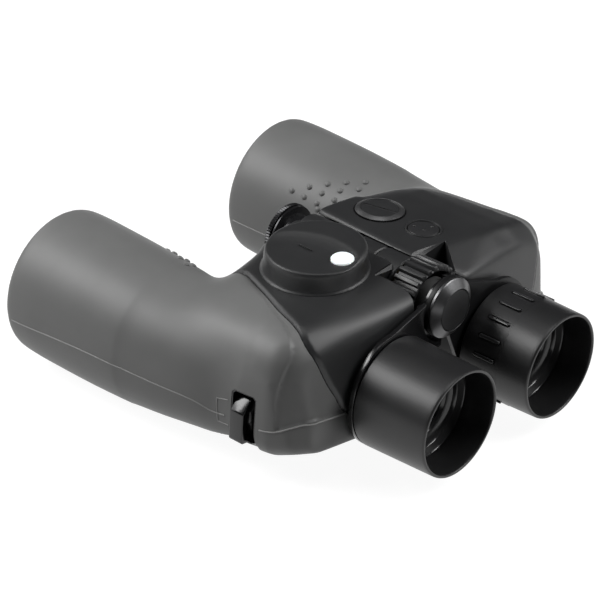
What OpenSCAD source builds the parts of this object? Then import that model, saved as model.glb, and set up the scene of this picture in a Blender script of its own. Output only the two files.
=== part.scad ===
// Centre-focus 7 x 50 porro-prism binoculars with a compass on the left half.
// +Y points forward, +X to the user's right, +Z up; the origin is on the surface
// that the binoculars lie on, under the middle of their box. "v" and "u" lengths
// below are heights above that surface and stations along Y.

/* [Overall] */
// Length from the eyecup rims to the objective rims
overall_len = 193; // [192:0.5:194]
// Distance between the two eyepiece axes as stored
eye_spacing = 67.3; // [66.8:0.1:67.8]
// Distance between the two objective axes as stored
objective_spacing = 138.2; // [137.8:0.1:138.6]
// Height of the eyepiece axes
eye_z = 31; // [31:0.1:31.2]
// Height of the objective axes
objective_z = 33.5; // [33.5:0.1:33.8]
// Height of the hinge axis
hinge_z = 57.5; // [57.4:0.1:57.6]

/* [Barrels] */
// Outer radius of the rubber at the objective rim
rim_r = 32.1; // [31.8:0.1:32.4]
// Clear radius of the objective lens
lens_r = 25; // [24.5:0.1:25.5]
// Thickness of the rubber armour
armour_t = 2; // [1.8:0.1:2.2]
// Wall of the housing castings
wall = 1.5; // [1.4:0.1:1.6]

/* [Hinge and focus] */
// Radius of the hinge tube
tube_r = 7; // [7:0.1:7.2]
// Radius of the hinge lugs
lug_r = 12.8; // [12.4:0.1:12.8]
// Radius of the threaded focus spindle
spindle_r = 5; // [4.8:0.1:5]
// Radius of the focus wheel over its ribs
wheel_r = 15.8; // [15.4:0.1:15.8]
// Number of ribs on the focus wheel
wheel_ribs = 20; // [16:1:24]
// Radial clearance of running fits
run_fit = 0.05; // [0.03:0.01:0.08]
// Radius of the tripod socket
tripod_r = 3.2; // [3.15:0.01:3.25]

/* [Eyepieces] */
// Outer radius of an eyecup at its rim
cup_rim_r = 23.6; // [23.4:0.1:23.8]
// Outer radius of an eyecup at its foot
cup_foot_r = 24.4; // [24.2:0.1:24.6]
// Thickness of the eyecup rubber
cup_t = 1.6; // [1.4:0.1:1.8]
// Depth of the eye lens inside the eyecup
eye_relief_depth = 15; // [14:0.5:16]

/* [Compass and lamp] */
// Radius of the compass dome at its foot
dome_r = 22.4; // [22:0.1:22.6]
// Tilt of the compass dome outwards
dome_tilt = 5.3; // [5:0.1:6]
// Radius of the battery cap
battery_cap_r = 10.9; // [10.7:0.1:11]
// Travel of the lamp button
button_travel = 0.8; // [0.6:0.1:1]

/* [Hidden] */
$fn = 64;
side_x = eye_spacing / 2;
obj_x = objective_spacing / 2;
y_rim = overall_len / 2;
y_cup = -overall_len / 2;

// stations along Y, worked from the eyecup rims
function st(u) = y_cup + u;
y_arm0 = st(36.4);          // rear face of the eyepiece arms
y_arm1 = st(38.7);          // front face of the eyepiece arms
y_house = st(40.5);         // rear face of the prism housings
y_wheel0 = st(44);          // rear face of the focus wheel
y_wheel1 = st(57);          // front face of the focus wheel
y_tube0 = st(57.3);         // rear end of the hinge tube
y_front = st(115);          // front face of the prism housings
y_collar = st(126);         // front face of the tripod collar
lug_len = 13.6;             // length of one hinge lug
lug_gap = 14;               // from one lug to the next
y_lug = st(59);             // first lug, on the left half
pocket_r = wheel_r + 1.5;   // room round the focus wheel
hinge_room = lug_r + 0.6;   // room round the lugs of the other half

// inside radius of the housing's own walls, counted in from the outer shape
skin = armour_t;
core = armour_t + wall;

// porro prisms: the first shifts the beam up and in, the second down and in
net_x = obj_x - side_x;
net_z = objective_z - eye_z;
net = sqrt(net_x * net_x + net_z * net_z);
fold = net / sqrt(2);
fold_deg = atan2(net_z, net_x) - 45;
turn_x = obj_x - fold * cos(fold_deg);
turn_z = objective_z - fold * sin(fold_deg);
prism_w = 19;
prism_round = 22;
y_prism1 = st(84);
y_prism2 = st(86);

// floor of the recess for the strap bar
bar_x = 84;

// eyepiece guides
guide_r = 17.5;
ocular_r = 15.5;
head_r = 21.8;

// compass dome
dome_x = -31.5;
dome_y = st(82.3);
dome_z = 68.8;
dome_h = 11;
dome_pitch = 0;
left_top = 67;

// battery compartment and lamp button on the right half
cell_x = 25.5;
cell_y = st(95.5);
panel_z = 71;
lamp_x = 26.1;
lamp_y = st(71.8);

dark = "#26282a";
grey = "#8b8d8c";
steel = "#b9bcbf";
brass = "#b0904a";
clear = "#cfe3ee";

// ---------------------------------------------------------------- helpers

// a cylinder along Y at x, z, from station a to station b
module rod(x, z, r1, a, b, r2 = -1) {
    translate([x, a, z])
        rotate([-90, 0, 0])
            cylinder(r1 = r1, r2 = r2 < 0 ? r1 : r2, h = b - a);
}

// a ring along Y
module tube(x, z, ro, ri, a, b) {
    difference() {
        rod(x, z, ro, a, b);
        rod(x, z, ri, a - 1, b + 1);
    }
}

// what follows is drawn for the right half and mirrored for the left
module half(side) {
    if (side > 0) children();
    else mirror([1, 0, 0]) children();
}

// the rounded outside of a prism housing, "inset" mm inside the real surface;
// "top" is the height of the outer end of its flat top, and "u_top" the station
// where that end meets the front wall
module envelope(inset, top, u_top) {
    hull() {
        rod(side_x, eye_z, 20.5 - inset, y_house + inset, st(48), cup_foot_r - 0.2 - inset, $fn = 48);
        // upper outer corner
        rod(68.5, 46, 13 - inset, st(46) + inset, st(48), $fn = 32);
        rod(68.5, 46, 20 - inset, st(54) + inset, st(62), $fn = 48);
        rod(68.5, 45.5, 18 - inset, st(94), st(104), $fn = 48);
        // lower outer corner, widening towards the barrel
        rod(68, 24, 10 - inset, y_house + 0.5 + inset, st(44), $fn = 32);
        rod(74.6, 24, 10.5 - inset, st(46) + inset, st(56), 14.2 - inset, $fn = 32);
        rod(74.6, 24, 14.2 - inset, st(56) + inset, y_front - inset, 20.9 - inset, $fn = 48);
        // flat top
        rod(7.5 + inset, panel_z - 2.5 - inset, 2.5, st(58) + inset, y_front - inset, $fn = 24);
        rod(43, top - 4 - inset, 4, st(58) + inset, st(u_top) - inset, $fn = 24);
        rod(18, 62 - inset, 1.5, y_house + inset, st(43) + inset, $fn = 24);
        // round the front prism, in line with the eyepiece
        rod(side_x + 2, eye_z + 1, 21 - inset, st(58) + inset, st(93), $fn = 48);
        // thumb pad on the underside
        rod(52, 10.5, 10.5 - inset, st(68) + inset, st(98) - inset, $fn = 32);
    }
}

// the barrel, which droops a little towards the housing; each section is
// [station, radius, offset outwards, offset down]
SECTIONS = [[100, 28.2, 0, 2], [112, 29.8, 0, 2.1], [124, 31, 0, 1.9], [135, 31.8, 0, 1.6],
            [150, 32.5, 0.1, 1], [165, 32.8, 0.2, 0.6], [180, 33.1, 0.2, 0.35]];

module barrel(inset) {
    hull()
        for (c = SECTIONS)
            rod(obj_x + c[2], objective_z - c[3], c[1] - inset, st(c[0]), st(c[0]) + 0.5, $fn = 48);
    rod(obj_x, objective_z, rim_r - 0.6 - inset, st(178), st(188.1));
    rod(obj_x, objective_z, rim_r - inset, st(188), y_rim);
}

// everything on the inner and upper side of the armour's slanting edge
module cover_side() {
    translate([46, st(112), 72])
        rotate([0, 0, 30.6])
            rotate([0, 32.2, 0])
                translate([-200, -250, -250])
                    cube([200, 500, 500]);
}

// room for the hinge and for the focus wheel
module hinge_cut(extra) {
    rod(0, hinge_z, hinge_room + extra, y_house - 5, y_front + 5);
    rod(0, hinge_z, pocket_r + extra, y_house - 5, st(58.6) + extra);
}

// the hinge lugs of one half, starting at station "first"
module lugs(first, bore) {
    for (i = [0, 1]) {
        a = first + 2 * i * lug_gap;
        difference() {
            union() {
                rod(0, hinge_z, lug_r, a, a + lug_len);
                translate([5, a, hinge_z - 9]) cube([10.5, lug_len, 12]);
            }
            rod(0, hinge_z, bore, a - 1, a + lug_len + 1);
        }
    }
}

// one prism housing and barrel, cast in one piece
module housing(side, first, bore, top, u_top) {
    difference() {
        union() {
            envelope(skin, top, u_top);
            intersection() {
                envelope(0, top, u_top);
                cover_side();
            }
            barrel(skin);
        }
        difference() {
            union() {
                envelope(core, top, u_top);
                barrel(core + 0.8);
                rod(obj_x, objective_z, lens_r + 2.2, st(176), y_rim + 1);
            }
            hinge_cut(wall);
            lug_recess(wall);
        }
        hinge_cut(0);
        rod(side_x, eye_z, guide_r + 2, y_house - 1, st(60));
        rod(obj_x, objective_z, lens_r + 2.2, st(176), y_rim + 1);
        lug_recess(0);
        if (side > 0) right_panel_cuts();
        else left_panel_cuts();
    }
    lugs(first, bore);
}

// the recess for the strap bar in the outer side of each housing
module lug_recess(grow) {
    translate([bar_x - grow, st(57.5) - grow, eye_z - 16 - grow])
        cube([30, 17.5 + 2 * grow, 24 + 2 * grow]);
}

module armour(top, u_top) {
    difference() {
        union() {
            envelope(0, top, u_top);
            barrel(0);
        }
        envelope(skin, top, u_top);
        barrel(skin);
        cover_side();
        hinge_cut(0.2);
        rod(side_x, eye_z, guide_r + 3, y_house - 1, st(60));
        rod(obj_x, objective_z, lens_r + 3, y_rim - 3, y_rim + 1);
        lug_recess(0);
    }
    // flat foot under each housing, on which the rear of the binoculars lies
    translate([46, st(70), 0]) cube([12, 24, 1.2]);
}

// the retaining ring screwed in front of the objective
module front_ring() {
    tube(obj_x, objective_z, lens_r + 2.15, lens_r, st(188), y_rim - 1.5);
}

// the cemented objective doublet
module objective() {
    intersection() {
        rod(obj_x, objective_z, lens_r + 1.6, st(178), st(188));
        translate([obj_x, st(186) - 110, objective_z]) sphere(r = 112, $fn = 160);
    }
}

// a right-angle prism with rounded ends: the long face is at station y0 and
// its roof points to "dir"; "deg" is the way that it shifts the beam
module prism(x, z, deg, y0, dir) {
    translate([x, y0, z])
        rotate([0, -deg, 0])
            translate([fold / 2, 0, 0])
                intersection() {
                    translate([0, 0, -prism_w / 2])
                        linear_extrude(prism_w)
                            polygon([[-fold, 0], [fold, 0], [1, dir * (fold - 1)], [-1, dir * (fold - 1)]]);
                    rotate([90, 0, 0]) cylinder(r = prism_round, h = 120, center = true);
                }
}

// the shelf that both prisms are clamped to, between their long faces
module prism_shelf() {
    difference() {
        intersection() {
            translate([27, y_prism1 + 0.2, 15]) cube([60, 1.6, 42]);
            rod(54, 37, 27, st(80), st(90));
        }
        rod(obj_x, objective_z, 10.5, st(80), st(90));
        rod(turn_x, turn_z, 10.5, st(80), st(90));
        rod(side_x, eye_z, 10.5, st(80), st(90));
    }
}

// the bar that the strap passes behind, with its plate on the recess floor
module strap_bar() {
    translate([bar_x, st(57.8), eye_z - 15.7])
        cube([1.2, 16.9, 23.4]);
    translate([bar_x, st(71.3), eye_z])
        rotate([90, 0, 0])
            linear_extrude(5.7)
                difference() {
                    polygon([[1, -14.8], [7.4, -14.2], [8.3, -13.2], [8.3, -0.4], [7.8, 0.4], [3.2, 5], [1, 5]]);
                    polygon([[1.2, -11.6], [5.8, -11.6], [5.8, -0.6], [1.2, -0.6]]);
                }
}

// the sleeve that the eyepiece slides in
module guide() {
    tube(side_x, eye_z, guide_r + 2, guide_r + run_fit, y_house + 0.3, st(58));
}

// ---------------------------------------------------------------- left half

module left_panel_cuts() {
    // room under the compass dome, seen mirrored
    translate([-dome_x, dome_y, dome_z])
        rotate([dome_pitch, dome_tilt, 0])
            translate([0, 0, -9])
                cylinder(r = 15.2, h = 20);
    // the dome's seat
    translate([-dome_x, dome_y, dome_z])
        rotate([dome_pitch, dome_tilt, 0])
            translate([0, 0, -1.6])
                cylinder(r = dome_r + run_fit, h = 20);
}

module left_housing() color(dark)
    half(-1) housing(-1, y_lug, tube_r, left_top, 113.5);

module left_armour() color(grey)
    half(-1) armour(left_top, 113.5);

module left_front_ring() color(dark)
    half(-1) front_ring();

module left_objective() color(clear)
    half(-1) objective();

module left_prism_rear() color(clear)
    half(-1) prism(obj_x, objective_z, 180 - 45 + atan2(net_z, net_x), y_prism1, -1);

module left_prism_front() color(clear)
    half(-1) prism(turn_x, turn_z, 180 + 45 + atan2(net_z, net_x), y_prism2, 1);

module left_prism_shelf() color(steel)
    half(-1) prism_shelf();

module left_strap_bar() color(dark)
    half(-1) strap_bar();

module left_guide() color(brass)
    half(-1) guide();

module hinge_tube() color(steel)
    tube(0, hinge_z, tube_r, spindle_r + 0.6, y_tube0, y_front + 1);

module thrust_ring() color(brass)
    tube(0, hinge_z, 10, tube_r, y_tube0 - 0.1, st(58.8));

// the ribbed collar on the front of the hinge, with the tripod socket
module tripod_collar() color(dark)
    difference() {
        union() {
            rod(0, hinge_z, lug_r, y_front + 0.1, st(122));
            rod(0, hinge_z, 13.8, st(120), y_collar - 1);
            rod(0, hinge_z, 13.8, y_collar - 1, y_collar, 12.8);
        }
        rod(0, hinge_z, tube_r, y_front - 1, y_front + 1);
        rod(0, hinge_z, tripod_r, st(118.6), y_collar + 1);
        for (u = [121.2, 122.8])
            tube(0, hinge_z, 16, 13.2, st(u), st(u + 0.8));
    }

// places its children on the tilted base of the compass
module on_dome() {
    translate([dome_x, dome_y, dome_z])
        rotate([dome_pitch, -dome_tilt, 0])
            children();
}

module compass_dome() color(dark)
    difference() {
        on_dome()
            rotate_extrude()
                polygon([[0, -1.6], [dome_r, -1.6], [dome_r, 0.6], [dome_r - 0.4, 3],
                    [21.6, dome_h - 2.4], [20.6, dome_h - 0.8], [18.8, dome_h], [0, dome_h]]);
        on_dome() translate([0, 0, -3]) cylinder(r = 15.1, h = 9);
        on_dome() translate([1.4, -13.6, 5.9]) cylinder(r = 5.4, h = 12);
        rod(0, hinge_z, hinge_room, y_house, y_front);
    }

module compass_window() color("white")
    on_dome() translate([1.4, -13.6, 6.1]) cylinder(r = 5.3, h = dome_h - 6.9);

// the damped bowl that holds the card
module compass_bowl() color(clear)
    on_dome()
        difference() {
            translate([0, 0, -7.4]) cylinder(r = 14.2, h = 11.8);
            translate([0, 0, -6.4]) cylinder(r = 13.2, h = 9.8);
        }

module compass_pivot() color(steel)
    on_dome() {
        translate([0, 0, -6.4]) cylinder(r = 2.5, h = 0.8);
        translate([0, 0, -5.6]) cylinder(r = 0.9, h = 3);
    }

// the magnifier that brings the card's scale into view
module compass_lens() color(clear)
    on_dome() translate([0, 0, 4.4]) cylinder(r = 6, h = 1.2);

// the card with its magnet, on the pivot
module compass_card() color("white")
    on_dome()
        difference() {
            union() {
                translate([0, 0, -2.5]) cylinder(r = 12.2, h = 1);
                translate([0, 0, -4.2]) cylinder(r = 4, h = 1.7);
            }
            translate([0, 0, -5]) cylinder(r = 0.95, h = 2.5);
        }

// ---------------------------------------------------------------- focus

module focus_wheel_core() color(dark)
    difference() {
        rod(0, hinge_z, 14, y_wheel0 + 0.4, y_wheel1);
        rod(0, hinge_z, 12.5, y_wheel0 - 1, st(49));
        rod(0, hinge_z, spindle_r + run_fit, y_wheel0 - 1, y_wheel1 + 1);
    }

module focus_wheel_grip() color(dark)
    difference() {
        rod(0, hinge_z, wheel_r, y_wheel0, y_wheel1);
        rod(0, hinge_z, 14, y_wheel0 - 1, y_wheel1 + 1);
        for (i = [0 : wheel_ribs - 1])
            translate([0, y_wheel0 - 1, hinge_z])
                rotate([0, i * 360 / wheel_ribs, 0])
                    translate([-0.9, 0, wheel_r - 1.1])
                        cube([1.8, y_wheel1 - y_wheel0 + 2, 3]);
    }

// the flat arm between the hub and one eyepiece, "ring" being its eye at the hub
module arm_plate(ring) {
    difference() {
        union() {
            hull() {
                rod(0, hinge_z, 10.5, y_arm0, y_arm1, $fn = 48);
                rod(side_x, eye_z, cup_foot_r + 0.3, y_arm0, y_arm1, $fn = 64);
            }
            rod(side_x, eye_z, guide_r, y_arm0, st(56));
        }
        rod(side_x, eye_z, ocular_r + run_fit, y_arm0 - 1, st(57));
        rod(0, hinge_z, ring, y_arm0 - 1, y_arm1 + 1);
        arm_clearance();
    }
}

// keeps an arm on its own side of the hub, clear of the other as the hinge closes
module arm_clearance() {
    translate([0, y_arm0 - 1, hinge_z])
        rotate([0, -13, 0])
            translate([-60, 0, -60])
                cube([60, 5, 60]);
}

module left_arm() color(dark)
    half(-1) {
        arm_plate(14);
        // the hub ring, set forward of the arm, and its neck
        difference() {
            union() {
                rod(0, hinge_z, 16.2, st(38.9), st(40.9));
                rod(0, hinge_z, 10.5, st(40.9), st(44.6));
                // steps forward from the plate, past the right arm's disc
                difference() {
                    intersection() {
                        tube(0, hinge_z, 16.2, 14, y_arm0, st(39.5));
                        translate([0, y_arm0, hinge_z])
                            rotate([0, 38, 0])
                                translate([0, 0, -12])
                                    cube([20, 6, 24]);
                    }
                    arm_clearance();
                }
            }
            rod(0, hinge_z, spindle_r, st(38), st(45));
        }
    }

module focus_spindle() color(steel)
    difference() {
        rod(0, hinge_z, spindle_r, st(33.6), st(72));
        for (u = [60 : 2 : 70])
            tube(0, hinge_z, spindle_r + 1, spindle_r - 0.5, st(u), st(u + 1));
    }

module hub_cap() color(dark)
    difference() {
        union() {
            rod(0, hinge_z, 12, st(32.9), st(34.2), 13.3);
            rod(0, hinge_z, 13.3, st(34.2), st(36.3));
            rod(0, hinge_z, 9.4, st(32.1), st(32.9), 12);
        }
        rod(0, hinge_z, spindle_r, st(33.6), st(37));
    }

// the tube that carries the eyepiece lenses; "foot" is its head's front face
module ocular(foot) {
    difference() {
        union() {
            rod(side_x, eye_z, head_r, st(eye_relief_depth + 1.5), st(foot));
            rod(side_x, eye_z, ocular_r, st(foot) - 1, st(54));
        }
        rod(side_x, eye_z, 13.6, st(eye_relief_depth), st(55));
    }
}

module field_lens() {
    intersection() {
        rod(side_x, eye_z, 13.6, st(34), st(39));
        translate([side_x, st(39) - 40, eye_z]) sphere(r = 40, $fn = 96);
    }
}

module eye_lens() {
    intersection() {
        rod(side_x, eye_z, 13.6, st(eye_relief_depth + 2.5), st(26));
        translate([side_x, st(eye_relief_depth + 2.5) + 34, eye_z]) sphere(r = 34, $fn = 96);
    }
}

// the ring that holds the eye lens, at the bottom of the eyecup
module lens_ring() {
    difference() {
        rod(side_x, eye_z, head_r - 0.1, st(eye_relief_depth), st(eye_relief_depth + 1.5));
        rod(side_x, eye_z, 10.5, st(eye_relief_depth - 1), st(eye_relief_depth + 2.5), 12.8);
    }
}

// the rubber eyecup; its foot is at station "foot"
module eyecup(foot) {
    translate([side_x, 0, eye_z])
        rotate([-90, 0, 0])
            rotate_extrude()
                polygon([
                    [cup_rim_r - cup_t, y_cup + 0.8], [cup_rim_r - 0.8, y_cup],
                    [cup_rim_r, y_cup + 0.8], [cup_foot_r, st(foot)],
                    [head_r + run_fit, st(foot)], [head_r + run_fit, st(eye_relief_depth - 0.4)],
                    [cup_rim_r - cup_t - 0.6, st(eye_relief_depth - 0.4)],
                    [cup_rim_r - cup_t - 0.6, st(4)]
                ]);
}

module left_ocular() color(dark)
    half(-1) ocular(36.2);

module left_field_lens() color(clear)
    half(-1) field_lens();

module left_eye_lens() color(clear)
    half(-1) eye_lens();

module left_lens_ring() color(dark)
    half(-1) lens_ring();

module left_eyecup() color(dark)
    half(-1) eyecup(36.1);

// the glass with the bearing scale, in the left eyepiece's focal plane
module reticle() color(clear)
    rod(-side_x, eye_z, 13.6, st(45), st(46.6));

// ---------------------------------------------------------------- right half

module right_panel_cuts() {
    translate([cell_x, cell_y, panel_z - 13.4]) cylinder(r = 9.2, h = 20);
    translate([cell_x, cell_y, panel_z - 3]) cylinder(r = battery_cap_r + 0.3, h = 20);
    translate([lamp_x, lamp_y, panel_z - 8]) cylinder(r = 6, h = 20);
    translate([lamp_x, lamp_y, panel_z - 1.6]) cylinder(r = 8.2, h = 20);
}

module right_housing() color(dark)
    housing(1, y_lug + lug_gap, tube_r + run_fit, panel_z, 107.5);

module right_armour() color(grey)
    armour(panel_z, 107.5);

module right_front_ring() color(dark)
    front_ring();

module right_objective() color(clear)
    objective();

module right_prism_rear() color(clear)
    prism(obj_x, objective_z, 180 - 45 + atan2(net_z, net_x), y_prism1, -1);

module right_prism_front() color(clear)
    prism(turn_x, turn_z, 180 + 45 + atan2(net_z, net_x), y_prism2, 1);

module right_prism_shelf() color(steel)
    prism_shelf();

module right_strap_bar() color(dark)
    strap_bar();

module right_guide() color(brass)
    guide();

// the cup that the button cells lie in
module battery_cup() color(dark)
    translate([cell_x, cell_y, panel_z - 13.4])
        difference() {
            cylinder(r = 9.2, h = 10.4);
            translate([0, 0, 1.2]) cylinder(r = 8.2, h = 10);
        }

// two coin cells
module battery_cells() color(steel)
    for (i = [0, 1])
        translate([cell_x, cell_y, panel_z - 11.4 + i * 3.3])
            cylinder(r = 8, h = 3.2);

module battery_contact() color(steel)
    translate([cell_x, cell_y, panel_z - 12.2]) {
        cylinder(r = 4, h = 0.4);
        translate([0, 0, 0.4]) cylinder(r = 1.5, h = 0.4);
    }

// the little circuit board under the button, with its switch
module lamp_board() color("darkgreen")
    translate([lamp_x, lamp_y, panel_z - 8]) {
        cylinder(r = 5.9, h = 1);
        translate([-2, -2, 1]) cube([4, 4, 2.2]);
    }

// the sealing ring under the battery cap
module battery_seal() color("black")
    translate([cell_x, cell_y, panel_z - 2.7])
        difference() {
            cylinder(r = 10.4, h = 0.9);
            translate([0, 0, -1]) cylinder(r = 9.3, h = 3);
        }

// the screw cap with its coin slot and milled edge
module battery_cap() color(dark)
    translate([cell_x, cell_y, panel_z]) {
        difference() {
            union() {
                translate([0, 0, -1.7]) cylinder(r = battery_cap_r, h = 2.1);
                translate([0, 0, 0.4]) cylinder(r1 = battery_cap_r, r2 = battery_cap_r - 1, h = 0.8);
                translate([0, 0, -4.4]) cylinder(r = 8, h = 3);
            }
            translate([0, 0, 0.5]) cylinder(r = battery_cap_r - 2.2, h = 2);
            rotate([0, 0, -76])
                translate([-battery_cap_r + 2.8, -0.8, -0.9])
                    cube([2 * battery_cap_r - 5.6, 1.6, 3]);
        }
    }

// the rubber push button with its three pips
module lamp_button() color(dark)
    translate([lamp_x, lamp_y, panel_z]) {
        translate([0, 0, -3.8]) cylinder(r = 2.4, h = 3);
        translate([0, 0, -1]) cylinder(r = 5.2, h = 2.2);
        for (i = [-1 : 1])
            translate([0.9 * i * i + 0.4, 2.7 * i, 1.2]) cylinder(r = 0.5, h = 0.3);
    }

module button_bezel() color(dark)
    translate([lamp_x, lamp_y, panel_z - 1.6])
        difference() {
            cylinder(r1 = 8.2, r2 = 7.4, h = 2.3);
            translate([0, 0, -1]) cylinder(r = 5.5, h = 5);
        }

module right_arm() color(dark) {
    arm_plate(6);
    difference() {
        rod(0, hinge_z, 13.4, y_arm0, y_arm1);
        rod(0, hinge_z, spindle_r + run_fit, y_arm0 - 1, y_arm1 + 1);
    }
}

module right_ocular() color(dark)
    ocular(34.8);

module right_field_lens() color(clear)
    field_lens();

module right_eye_lens() color(clear)
    eye_lens();

module right_lens_ring() color(dark)
    lens_ring();

module right_eyecup() color(dark)
    eyecup(24);

// the ribbed ring that sets the right eyepiece to the user's eye
module diopter_ring() color(dark)
    difference() {
        tube(side_x, eye_z, cup_foot_r, head_r + run_fit, st(24), st(34.8));
        for (i = [0 : 35])
            translate([side_x, st(25), eye_z])
                rotate([0, i * 10, 0])
                    translate([-0.7, 0, cup_foot_r - 0.6])
                        cube([1.4, 11, 2]);
    }

// ---------------------------------------------------------------- small parts

// the screws through the underside that hold a prism shelf
module shelf_screws() {
    for (y = [st(80), st(90)])
        translate([62, y, 9.2]) cylinder(r = 2, h = 5);
}

module left_screws() color(steel)
    half(-1) shelf_screws();

module right_screws() color(steel)
    shelf_screws();

left_housing();
left_armour();
left_front_ring();
left_objective();
left_prism_rear();
left_prism_front();
left_prism_shelf();
left_strap_bar();
left_guide();
hinge_tube();
thrust_ring();
tripod_collar();
compass_dome();
compass_window();
compass_bowl();
compass_pivot();
compass_lens();
compass_card();
focus_wheel_core();
focus_wheel_grip();
left_arm();
focus_spindle();
hub_cap();
left_ocular();
left_field_lens();
left_eye_lens();
left_lens_ring();
left_eyecup();
reticle();
right_housing();
right_armour();
right_front_ring();
right_objective();
right_prism_rear();
right_prism_front();
right_prism_shelf();
right_strap_bar();
right_guide();
battery_cup();
battery_cells();
battery_contact();
lamp_board();
battery_seal();
battery_cap();
lamp_button();
button_bezel();
right_arm();
right_ocular();
right_field_lens();
right_eye_lens();
right_lens_ring();
right_eyecup();
diopter_ring();
left_screws();
right_screws();
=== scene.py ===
import math
import bpy
from mathutils import Matrix, Vector


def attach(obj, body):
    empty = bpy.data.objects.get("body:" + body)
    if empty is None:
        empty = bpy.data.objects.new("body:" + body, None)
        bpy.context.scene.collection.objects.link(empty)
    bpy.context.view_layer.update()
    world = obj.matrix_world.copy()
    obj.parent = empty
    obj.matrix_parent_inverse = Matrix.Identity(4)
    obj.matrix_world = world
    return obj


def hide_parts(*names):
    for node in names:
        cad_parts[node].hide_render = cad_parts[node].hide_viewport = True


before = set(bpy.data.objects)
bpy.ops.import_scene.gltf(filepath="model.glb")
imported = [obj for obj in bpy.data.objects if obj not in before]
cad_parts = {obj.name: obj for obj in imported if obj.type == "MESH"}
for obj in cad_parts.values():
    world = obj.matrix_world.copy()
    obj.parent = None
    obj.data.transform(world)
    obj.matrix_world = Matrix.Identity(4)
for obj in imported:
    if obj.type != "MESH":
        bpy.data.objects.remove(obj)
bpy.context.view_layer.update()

# ---- The studio
# A long lens looks down over the left shoulder of the binoculars. They lie on a
# wide pale sheet, under soft boxes in front, overhead and behind the eyecups.

bpy.ops.object.camera_add()
camera = bpy.context.object
camera.name = "camera"
camera.matrix_world = (
    Matrix.Translation((-0.7853, -0.6317, 0.5838))
    @ Matrix.Rotation(math.radians(-50.36), 4, "Z")
    @ Matrix.Rotation(math.radians(90 - 28.56), 4, "X")
    @ Matrix.Rotation(math.radians(3.71), 4, "Z")
)
camera.data.lens = 160.88
camera.data.sensor_width = 36
camera.data.clip_start = 0.05
camera.data.clip_end = 20
bpy.context.scene.camera = camera
bpy.context.scene.view_settings.view_transform = "Standard"


def new_material(name):
    """A material with only its Principled shader; returns it, its nodes' maker and the shader."""
    material = bpy.data.materials.new(name)
    material.use_nodes = True
    tree = material.node_tree
    shader = tree.nodes["Principled BSDF"]

    def add(kind, inputs=None, **settings):
        node = tree.nodes.new("ShaderNode" + kind)
        for key, value in settings.items():
            setattr(node, key, value)
        for socket, value in (inputs or {}).items():
            if isinstance(value, bpy.types.NodeSocket):
                tree.links.new(value, node.inputs[socket])
            else:
                node.inputs[socket].default_value = value
        return node

    return material, add, shader, tree


def dress(piece, material):
    piece.data.materials.clear()
    piece.data.materials.append(material)


bpy.ops.mesh.primitive_plane_add(size=8, location=(0, 0, -0.0002))
sheet = bpy.context.object
sheet.name = "studio_sheet"
material, add, shader, tree = new_material("studio_paper")
shader.inputs["Base Color"].default_value = (0.18, 0.18, 0.179, 1)
shader.inputs["Roughness"].default_value = 0.9
path = add("LightPath")
seen = add("Math", {0: path.outputs["Is Camera Ray"], 1: path.outputs["Is Glossy Ray"]},
    operation="MAXIMUM")
seen = add("Math", {0: seen.outputs[0], 1: path.outputs["Is Transmission Ray"]}, operation="MAXIMUM")
glow = add("Math", {0: seen.outputs[0], 1: 0.93}, operation="MULTIPLY")
shader.inputs["Emission Color"].default_value = (1, 1, 1, 1)
tree.links.new(glow.outputs[0], shader.inputs["Emission Strength"])
dress(sheet, material)


def soft_box(name, place, power):
    """A square soft box at place, aimed at the middle of the binoculars."""
    width, middle = 0.7, Vector((0, 0, 0.03))
    bpy.ops.object.light_add(type="AREA", location=place)
    lamp = bpy.context.object
    lamp.name = name
    lamp.data.shape = "RECTANGLE"
    lamp.data.size = lamp.data.size_y = width
    lamp.data.energy = power
    lamp.rotation_euler = (middle - Vector(place)).to_track_quat("-Z", "Y").to_euler()


soft_box("key_box", (-0.73, 0.83, 1.05), 15)
soft_box("rear_box", (0.68, -0.83, 1.08), 12.5)
soft_box("right_box", (1.2, -0.68, 0.63), 2.5)
soft_box("top_box", (0.03, 0.05, 1.53), 4.2)
soft_box("front_box", (0, 1.3, 0.79), 3.8)
soft_box("low_front_box", (-0.9, 1.12, 0.48), 2.8)
world = bpy.data.worlds.new("studio_air")
world.use_nodes = True
world.node_tree.nodes["Background"].inputs["Color"].default_value = (0.93, 0.95, 1, 1)
world.node_tree.nodes["Background"].inputs["Strength"].default_value = 0.03
bpy.context.scene.world = world

# ---- Prism housings and barrels
# Each half is one casting: a box for the prisms with the objective barrel growing
# out of it. Grey rubber wraps the outside; a dark moulded cover takes the inner
# and upper side, and the two meet in a slanting, curved line with a fine gap.

mm = 0.001


def at(x, u, z):
    """A point from x, u and z in mm, where u is measured forward from the eyecup rims."""
    return Vector((x * mm, (u - 96.5) * mm, z * mm))


def pick(*pieces):
    """Selects these pieces and nothing else, the first one active."""
    bpy.ops.object.select_all(action="DESELECT")
    for piece in pieces:
        piece.select_set(True)
    bpy.context.view_layer.objects.active = pieces[0]


def settle(piece, name=None):
    """Moves a piece's place, turn and scale into its mesh."""
    pick(piece)
    bpy.ops.object.transform_apply(location=True, rotation=True, scale=True)
    if name:
        piece.name = piece.data.name = name
    return piece


def join(pieces, name):
    pick(*pieces)
    if len(pieces) > 1:
        bpy.ops.object.join()
    pieces[0].name = pieces[0].data.name = name
    return pieces[0]


def rod(x, z, radius, u0, u1, radius1=None, sides=48):
    """A round bar along Y from u0 to u1."""
    bpy.ops.mesh.primitive_cone_add(
        vertices=sides, radius1=radius * mm, radius2=(radius if radius1 is None else radius1) * mm,
        depth=(u1 - u0) * mm, location=at(x, (u0 + u1) / 2, z), rotation=(-math.pi / 2, 0, 0))
    return settle(bpy.context.object)


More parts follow.
